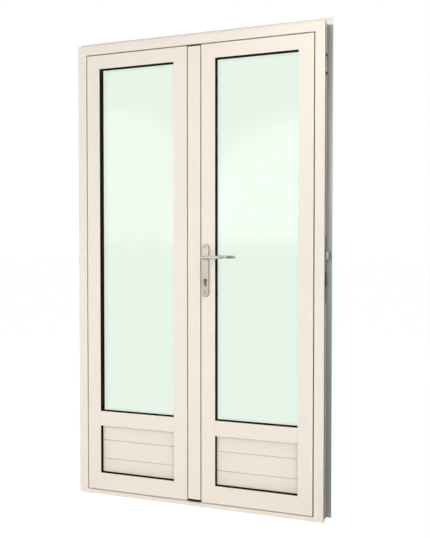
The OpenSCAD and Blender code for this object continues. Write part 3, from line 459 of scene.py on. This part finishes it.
class DOOR_OT_seal(bpy.types.Operator):
    """Finishes gaskets, seals, caps, blocks and insulating bars"""

    bl_idname = "door.seal"
    bl_label = "Finish seals and bars"

    def execute(self, context):
        finishes = context.scene.door_finishes
        rubber = moulded("black_epdm_rubber", finishes.rubber,
                         grit=1.2 * MM, roughness=0.82, sheen=0.12, bump=0.15)
        dress(rubber, "frame_centre_seal",
              *both_leaves("outside_gasket", "inside_gasket", "seals"))
        plastic = moulded("black_moulded_plastic", finishes.plastic,
                          grit=0.8 * MM, roughness=0.6, sheen=0.3, bump=0.1)
        dress(plastic, "astragal_caps", *both_leaves("setting_blocks", "thermal_bars"))
        bars = moulded("grey_glass_filled_polyamide", finishes.polyamide,
                       grit=0.8 * MM, roughness=0.55, sheen=0.5, bump=0.1)
        dress(bars, "frame_thermal_bars")
        return {"FINISHED"}


class DOOR_OT_finish_metalwork(bpy.types.Operator):
    """Finishes handles, lock, bolts and hinge pins"""

    bl_idname = "door.finish_metalwork"
    bl_label = "Finish the metalwork"

    def execute(self, context):
        finishes, sizes = context.scene.door_finishes, context.scene.door_sizes
        dress(anodised_aluminium("satin_anodised_aluminium", finishes.satin, dullest=0.42),
              "handle_plates")
        dress(anodised_aluminium("polished_anodised_aluminium", finishes.polished, dullest=0.31),
              "levers")
        dress(mill_aluminium(finishes, sizes), "frame_corner_cleats", "spindle", "lock_case")
        dress(plated("nickel_plated_brass", finishes.nickel, sizes),
              "cylinder_body", "cylinder_plug")
        dress(plated("stainless_steel", finishes.stainless, sizes), "handle_screws")
        dress(plated("dull_galvanised_steel", finishes.galvanised, sizes), "jamb_side_plate")
        dress(plated("zinc_plated_steel", finishes.steel, sizes), "jamb_side_block", "bolt_keeps",
              "hinge_pins", "strike_plate", "lock_face_plate", "deadbolt", "latch_bolt",
              "upper_shoot_bolt", "lower_shoot_bolt", "upper_flush_bolt", "lower_flush_bolt")
        return {"FINISHED"}


class DOOR_OT_add_meeting_seal(bpy.types.Operator):
    """Adds the soft fin on the right leaf that closes its gap to the strip"""

    bl_idname = "door.add_meeting_seal"
    bl_label = "Add the meeting seal"

    def execute(self, context):
        strip_low, strip_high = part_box("astragal")
        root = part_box("lock_case")[0][0]
        tip = strip_high[0]
        behind_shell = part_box("frame_thermal_bars")[0][1]
        outline = [(x, behind_shell + depth * MM, strip_low[2]) for x, depth in (
            (root, 0.2), (root - 2 * MM, 0.2), (tip + 3 * MM, 0.8), (tip + 0.6 * MM, 1.2),
            (tip, 1.6), (tip + 0.6 * MM, 2.0), (tip + 3 * MM, 2.2), (root - 2 * MM, 3.0),
            (root, 3.0))]
        fin = extruded(outline, (0, 0, strip_high[2] - strip_low[2]))
        new_piece("meeting_seal", fin, bpy.data.materials["black_epdm_rubber"],
                  "right_leaf")
        return {"FINISHED"}


class DOOR_OT_add_panel_lips(bpy.types.Operator):
    """Adds the rubber lip that lies on each grooved panel, inside its gasket"""

    bl_idname = "door.add_panel_lips"
    bl_label = "Add the panel lips"

    def execute(self, context):
        width = context.scene.door_sizes.panel_lip
        # The lips' rubber is tinted brown as painted bounce light from the cream panel; the rubber
        # itself is black
        rubber = moulded("epdm_rubber_with_painted_bounce", context.scene.door_finishes.lip_rubber_painted_bounce,
                         grit=1.2 * MM, roughness=0.82, sheen=0.12, bump=0.15)
        for leaf in LEAVES:
            low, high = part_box(f"{leaf}_panel")
            left, right = low[0] + PANEL_BITE, high[0] - PANEL_BITE
            foot, top = low[2] + PANEL_BITE, high[2] - PANEL_BITE
            lip = bmesh.new()
            opening = lip.faces.new([lip.verts.new((x, low[1], z)) for x, z in (
                (left, foot), (right, foot), (right, top), (left, top))])
            opening.normal_update()
            ring = bmesh.ops.inset_region(lip, faces=[opening], thickness=width,
                                          use_boundary=True, use_even_offset=True)["faces"]
            bmesh.ops.delete(lip, geom=[opening], context="FACES_ONLY")
            grown = bmesh.ops.extrude_face_region(lip, geom=ring, use_keep_orig=True)["geom"]
            front = verts_in(grown)
            bmesh.ops.translate(lip, verts=front, vec=(0, -LIP_HEIGHT, 0))
            inner = [vert for vert in front if left + width / 2 < vert.co.x < right - width / 2]
            rim = [edge for edge in lip.edges if all(vert in inner for vert in edge.verts)]
            bmesh.ops.bevel(lip, geom=rim, offset=LIP_HEIGHT / 2, offset_type="OFFSET",
                            affect="EDGES", segments=3, profile=0.5, material=-1)
            new_piece(f"{leaf}_panel_lip", lip, rubber, f"{leaf}_leaf")
        return {"FINISHED"}


class DOOR_OT_add_jamb_caps(bpy.types.Operator):
    """Adds black caps on the jambs' fixing holes and a packer in the side plate's slot"""

    bl_idname = "door.add_jamb_caps"
    bl_label = "Add caps and packer"

    def execute(self, context):
        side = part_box("jamb_side_plate")
        floor, mid = side[0][0], (side[0][1] + side[1][1]) / 2
        cap = turned([(0, 0), (4.2, 0), (4.2, 3), (7.2, 3.1), (7.5, 3.6), (7.2, 4.4), (5.6, 5.6),
                      (3, 6.3), (0, 6.5)], steps=32)
        repeat_at(cap, [
            Matrix.Translation((hand * floor, mid, height))
            @ Matrix.Rotation(hand * math.pi / 2, 4, "Y")
            for hand in (1, -1) for height in FIXING_HEIGHTS])
        new_piece("fixing_caps", cap, bpy.data.materials["black_moulded_plastic"],
                  "frame")

        low = Vector((floor + PACKER_SLACK, mid - PACKER_WIDTH / 2,
                      side[0][2] + PACKER_ENDS[0]))
        high = Vector((side[1][0] + PACKER_OUT, mid + PACKER_WIDTH / 2,
                       side[0][2] + PACKER_ENDS[1]))
        packer = bmesh.new()
        bmesh.ops.create_cube(packer, size=1, matrix=Matrix.LocRotScale(
            (low + high) / 2, None, high - low))
        bmesh.ops.bevel(packer, geom=packer.edges, offset=PACKER_EDGE, offset_type="OFFSET",
                        affect="EDGES", segments=3, profile=0.5, material=-1)
        new_piece("side_slot_packer", packer, bpy.data.materials["black_epdm_rubber"],
                  "frame")
        return {"FINISHED"}


class DOOR_OT_add_hinge_screws(bpy.types.Operator):
    """Adds the screws that hold the hinge plates to the frame and the leaves"""

    bl_idname = "door.add_hinge_screws"
    bl_label = "Add the hinge screws"

    def execute(self, context):
        jamb_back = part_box("frame_jamb_left")[1][1]
        leaf_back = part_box("left_hinge_stile")[1][1]
        frame_plates, leaf_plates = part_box("frame_hinge_leaves"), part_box("right_hinge_leaves")
        rows = (leaf_plates[0][2], (leaf_plates[0][2] + leaf_plates[1][2] - HINGE_HEIGHT) / 2,
                leaf_plates[1][2] - HINGE_HEIGHT)
        heights = [row + share * HINGE_HEIGHT for row in rows for share in SCREW_SHARES]
        frame_x = frame_plates[1][0] - FRAME_SCREW_INSET
        leaf_x = leaf_plates[0][0] + LEAF_SCREW_INSET
        self.add("frame_hinge_screws", "frame", (-frame_x, frame_x), jamb_back, heights)
        self.add("left_hinge_screws", "left_leaf", (-leaf_x,), leaf_back, heights)
        self.add("right_hinge_screws", "right_leaf", (leaf_x,), leaf_back, heights)
        return {"FINISHED"}

    def add(self, name, body, columns, face, heights):
        """Adds round screw heads on a face, in columns and at heights."""
        head = turned([(0, -1), (4.2, -1), (4.2, 0.4), (3.6, 1.3), (2.6, 1.8), (2, 1.9), (2, 0.2),
                       (0, 0.2)], steps=24)
        # Draws the round socket in to a hexagon
        for vert in head.verts:
            around = Vector((vert.co.x, vert.co.y))
            if SOCKET_RADII[0] < around.length < SOCKET_RADII[1]:
                turn = math.atan2(around.y, around.x) % SIXTH_TURN - SIXTH_TURN / 2
                vert.co.xy = around * math.cos(SIXTH_TURN / 2) / math.cos(turn)
        outwards = Matrix.Rotation(-math.pi / 2, 4, "X")
        repeat_at(head, [Matrix.Translation((x, face + HINGE_PLATE, z)) @ outwards
                         for x in columns for z in heights])
        new_piece(name, head, bpy.data.materials["zinc_plated_steel"], body)


def seen_directly(tree, direct, mirrored):
    """One level straight to the camera, 1 through glass, another in mirrors, 0 as light."""
    path = add_node(tree, "ShaderNodeLightPath").outputs
    straight = add_node(tree, "ShaderNodeMath", {0: path["Is Camera Ray"], 1: direct},
                        operation="MULTIPLY")
    glossy = add_node(tree, "ShaderNodeMath", {0: path["Is Glossy Ray"], 1: mirrored},
                      operation="MULTIPLY")
    clear = add_node(tree, "ShaderNodeMath", {0: glossy.outputs[0],
                                              1: path["Is Transmission Ray"]},
                     operation="MAXIMUM")
    return add_node(tree, "ShaderNodeMath", {0: straight.outputs[0], 1: clear.outputs[0]},
                    operation="MAXIMUM").outputs[0]


def dome_glow(lamp, rim, foot):
    """Shapes a lamp like the light on a studio wall: a dome that fades at its rim and its foot."""
    lamp.use_nodes = True
    tree = lamp.node_tree
    tree.nodes.clear()
    across = add_node(tree, "ShaderNodeNewGeometry").outputs["Parametric"]
    spread = add_node(tree, "ShaderNodeMapping",
                      {"Vector": across, "Location": (-1, 0, 0), "Scale": (2, 1, 0)})
    reach = add_node(tree, "ShaderNodeVectorMath", {0: spread.outputs[0]}, operation="LENGTH")
    height = add_node(tree, "ShaderNodeSeparateXYZ", {0: across})
    dome = add_node(tree, "ShaderNodeMapRange", {
        "Value": reach.outputs["Value"], "From Min": 1.0, "From Max": 1.0 - rim},
        interpolation_type="SMOOTHSTEP")
    base = add_node(tree, "ShaderNodeMapRange", {
        "Value": height.outputs["Y"], "From Min": 0.0, "From Max": foot},
        interpolation_type="SMOOTHSTEP")
    level = add_node(tree, "ShaderNodeMath",
                     {0: dome.outputs["Result"], 1: base.outputs["Result"]}, operation="MULTIPLY")
    glow = add_node(tree, "ShaderNodeEmission", {"Strength": level.outputs[0]})
    add_node(tree, "ShaderNodeOutputLight", {"Surface": glow.outputs[0]})


def add_lamp(name, place, target, size, power, mirrored=False):
    """A soft lamp that looks at a point; glass and metal show it only if it is mirrored."""
    lamp = bpy.data.lights.new(name, "AREA")
    lamp.shape = "RECTANGLE"
    lamp.size, lamp.size_y = size
    lamp.energy = power
    made = bpy.data.objects.new(name, lamp)
    bpy.context.scene.collection.objects.link(made)
    made.location = place
    made.rotation_euler = (Vector(target) - Vector(place)).to_track_quat("-Z", "Y").to_euler()
    made.visible_camera = False
    made.visible_transmission = False
    made.visible_glossy = mirrored
    return lamp


def white_room(stage):
    """A world that looks white and lights the door a little more from its bright side."""
    world = bpy.data.worlds.new("white_room")
    world.use_nodes = True
    tree = world.node_tree
    tree.nodes.clear()
    heading = add_node(tree, "ShaderNodeTexCoord").outputs["Generated"]
    side = add_node(tree, "ShaderNodeVectorMath", {0: heading, 1: BRIGHT_SIDE},
                    operation="DOT_PRODUCT")
    level = add_node(tree, "ShaderNodeMapRange", {
        "Value": side.outputs["Value"], "From Min": -1.0,
        "To Min": stage.room_shade, "To Max": stage.room_light})
    plain = {"Color": (1, 1, 1, 1)}
    room = add_node(tree, "ShaderNodeBackground", plain | {"Strength": level.outputs["Result"]})
    white = add_node(tree, "ShaderNodeBackground", plain | {"Strength": 1.0})
    both = add_node(tree, "ShaderNodeMixShader", {
        0: seen_directly(tree, *ROOM_LOOK), 1: room.outputs[0], 2: white.outputs[0]})
    add_node(tree, "ShaderNodeOutputWorld", {"Surface": both.outputs[0]})
    return world


def floor_paint():
    """Matt white studio paint under an even white look, so that only a soft shadow shows."""
    paint, tree, _ = start_material("white_studio_floor")
    matt = add_node(tree, "ShaderNodeBsdfDiffuse", {"Color": linear("FAFAF8")})
    glow = add_node(tree, "ShaderNodeEmission", {"Strength": seen_directly(tree, *FLOOR_LOOK)})
    end_material(tree, add_node(tree, "ShaderNodeMixShader", {
        0: seen_directly(tree, *FLOOR_COVER), 1: matt.outputs[0], 2: glow.outputs[0]}))
    return paint


def add_lamps(stage):
    """Lamps for an even front, with soft glows for the glass to show."""
    add_lamp("key_lamp", (-1.9, -4.2, 2.95), (0, 0, 1.6), (0.9, 0.9), stage.key_power)
    # The left softbox stands a little in front, because lamps hide one another
    right = add_lamp("right_softbox", (-0.3, -6.0, 2.19), (-0.3, 0, 2.19), (5.2, 2.19),
                     stage.softbox_power, mirrored=True)
    dome_glow(right, rim=0.25, foot=0.2)
    left = add_lamp("left_softbox", (-3.4, -5.9, 2.24), (-3.4, 0, 2.24), (2.9, 2.3),
                    stage.side_softbox_power, mirrored=True)
    dome_glow(left, rim=0.15, foot=0.18)
    add_lamp("corner_lamp", (1.05, -0.95, 2.35), (0.55, 0, 1.95), (0.7, 0.7),
             stage.corner_power)
    add_lamp("back_lamp", (-1.6, 5.0, 2.4), (0, 0, 1.1), (4.0, 2.4), stage.back_power)
    add_lamp("low_lamp", (0.3, -2.0, 0.3), (-0.05, 0, 0.15), (3.8, 0.5), stage.low_power)


class DOOR_OT_set_stage(bpy.types.Operator):
    """Adds the pale floor, the white room, the lamps and the camera"""

    bl_idname = "door.set_stage"
    bl_label = "Set the stage"

    def execute(self, context):
        scene = context.scene
        stage = scene.door_stage
        scene.view_settings.view_transform = "Standard"
        scene.world = white_room(stage)

        mesh = bpy.data.meshes.new("floor")
        shape = bmesh.new()
        bmesh.ops.create_grid(shape, x_segments=1, y_segments=1, size=stage.floor_size / 2)
        shape.to_mesh(mesh)
        shape.free()
        mesh.materials.append(floor_paint())
        floor = bpy.data.objects.new("floor", mesh)
        floor.location = (0, 0, cad_low[2] - FLOOR_DROP)
        scene.collection.objects.link(floor)

        add_lamps(stage)

        lens = bpy.data.cameras.new("photo_camera")
        lens.lens = stage.lens
        camera = bpy.data.objects.new("photo_camera", lens)
        camera.location = CAMERA_PLACE
        camera.rotation_euler = CAMERA_TURN
        scene.collection.objects.link(camera)
        scene.camera = camera
        return {"FINISHED"}


class DOOR_PT_panel(bpy.types.Panel):
    """Lists the door's finishes, sizes and steps"""

    bl_idname = "DOOR_PT_panel"
    bl_label = "Glazed double door"
    bl_space_type = "VIEW_3D"
    bl_region_type = "UI"
    bl_category = "Door"

    def draw(self, context):
        for group in (context.scene.door_finishes, context.scene.door_sizes,
                      context.scene.door_stage):
            for name in group.__annotations__:
                self.layout.prop(group, name)
        for step in STEPS:
            self.layout.operator(step.bl_idname)


STEPS = (
    DOOR_OT_coat_profiles, DOOR_OT_glaze, DOOR_OT_seal, DOOR_OT_finish_metalwork,
    DOOR_OT_add_meeting_seal, DOOR_OT_add_panel_lips, DOOR_OT_add_jamb_caps,
    DOOR_OT_add_hinge_screws, DOOR_OT_set_stage,
)
CLASSES = (DoorFinishes, DoorSizes, DoorStage, *STEPS, DOOR_PT_panel)


def register():
    """Registers the classes and gives the scene the door's settings."""
    for made in CLASSES:
        bpy.utils.register_class(made)
    bpy.types.Scene.door_finishes = PointerProperty(type=DoorFinishes)
    bpy.types.Scene.door_sizes = PointerProperty(type=DoorSizes)
    bpy.types.Scene.door_stage = PointerProperty(type=DoorStage)


def unregister():
    """Takes the settings and the classes away again."""
    del bpy.types.Scene.door_stage
    del bpy.types.Scene.door_sizes
    del bpy.types.Scene.door_finishes
    for made in reversed(CLASSES):
        bpy.utils.unregister_class(made)


def main():
    """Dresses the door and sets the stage."""
    register()
    bpy.ops.door.coat_profiles()
    bpy.ops.door.glaze()
    bpy.ops.door.seal()
    bpy.ops.door.finish_metalwork()
    bpy.ops.door.add_meeting_seal()
    bpy.ops.door.add_panel_lips()
    bpy.ops.door.add_jamb_caps()
    bpy.ops.door.add_hinge_screws()
    bpy.ops.door.set_stage()


if __name__ == "__main__":
    main()
